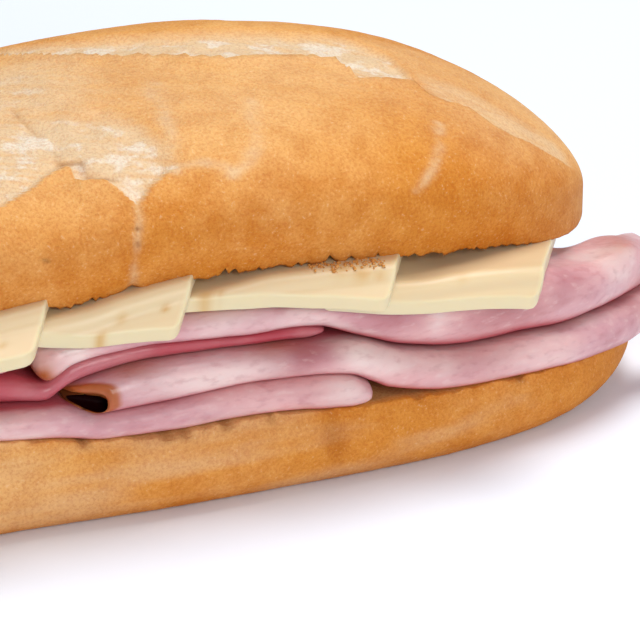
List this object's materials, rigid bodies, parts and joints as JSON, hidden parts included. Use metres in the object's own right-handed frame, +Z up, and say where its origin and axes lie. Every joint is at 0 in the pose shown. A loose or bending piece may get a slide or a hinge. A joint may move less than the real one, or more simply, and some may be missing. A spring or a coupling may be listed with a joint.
{
  "type": "submarine sandwich",
  "caption": "Scored baguette roll, cut open and filled with folded slices of cooked ham and shingled slices of pale cheese.",
  "frame": {"origin": "centre of the bounding box at its bottom, on the surface that the sandwich rests on", "axes": "+X along the roll towards its right end, -Y towards the open front where the filling shows, +Z up"},
  "size_m": [0.242, 0.0866, 0.0661],
  "materials": {
    "crust": "dry baked bread crust, finely mottled",
    "ham": "moist cooked ham, softly glossy",
    "cheese": "smooth pale cheese, slightly waxy"
  },
  "bodies": {
    "root": {"bread_bottom": "crust", "bread_top": "crust", "ham_bottom_left": "ham", "ham_bottom": "ham", "ham_inner": "ham", "ham_middle": "ham", "ham_top_left": "ham", "ham_top": "ham", "cheese_1": "cheese", "cheese_2": "cheese", "cheese_3": "cheese", "cheese_4": "cheese", "cheese_5": "cheese", "cheese_6": "cheese", "cheese_7": "cheese"}
  },
  "joints": []
}
